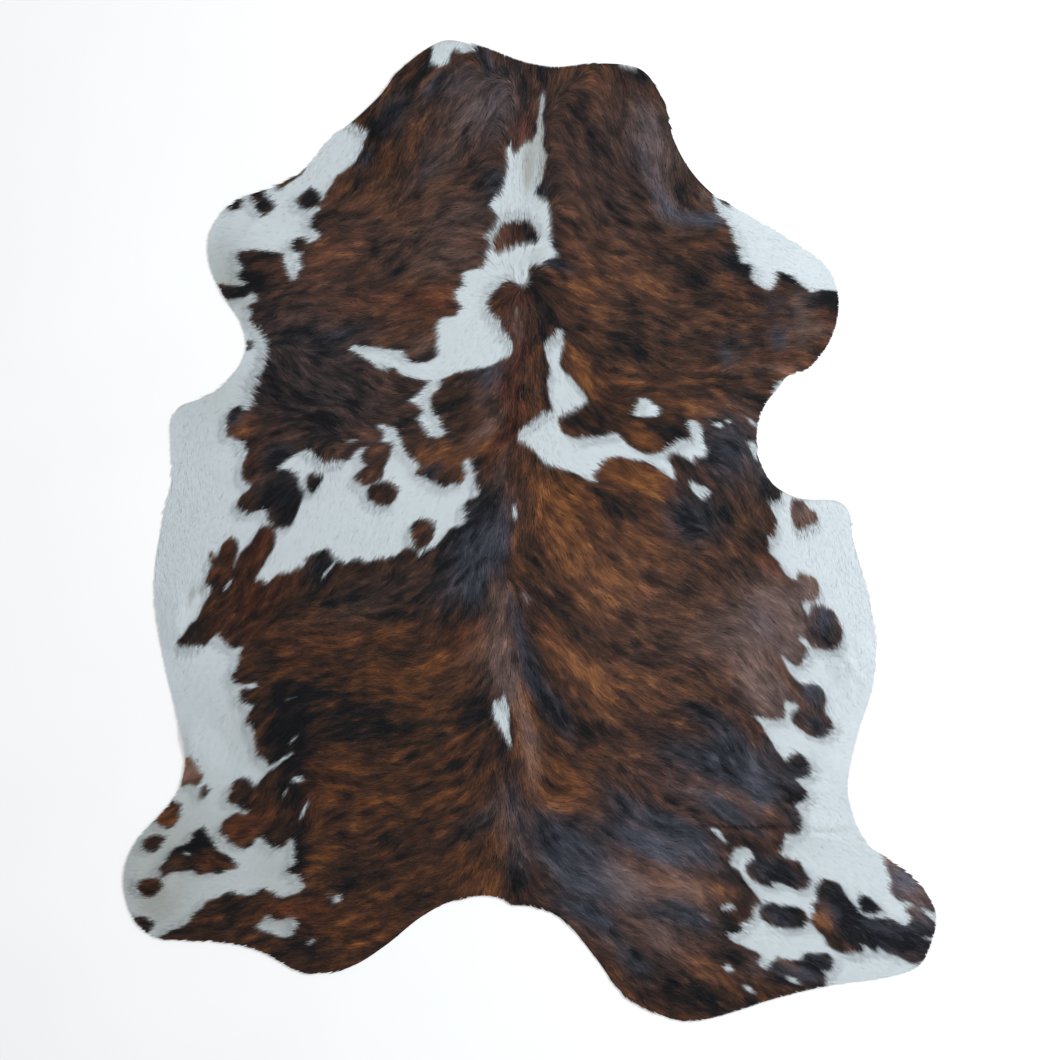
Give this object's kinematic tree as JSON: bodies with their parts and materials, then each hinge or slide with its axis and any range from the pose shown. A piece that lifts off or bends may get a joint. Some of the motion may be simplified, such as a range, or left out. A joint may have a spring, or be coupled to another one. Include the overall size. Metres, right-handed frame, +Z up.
{
  "type": "cowhide rug",
  "caption": "Whole tanned cowhide with its short brindle and white coat, laid flat as a floor rug with its neck, leg and rump outline.",
  "frame": {"origin": "on the floor under the middle of the hide's length and width", "axes": "+X across the hide, +Y along the spine towards the neck, +Z up out of the hair side"},
  "size_m": [1.82, 2.2, 0.0145],
  "materials": {
    "hide": "short glossy hair, dark brown and tan brindle with white patches, over a pale suede underside"
  },
  "bodies": {
    "root": {"hide": "hide"}
  },
  "joints": []
}
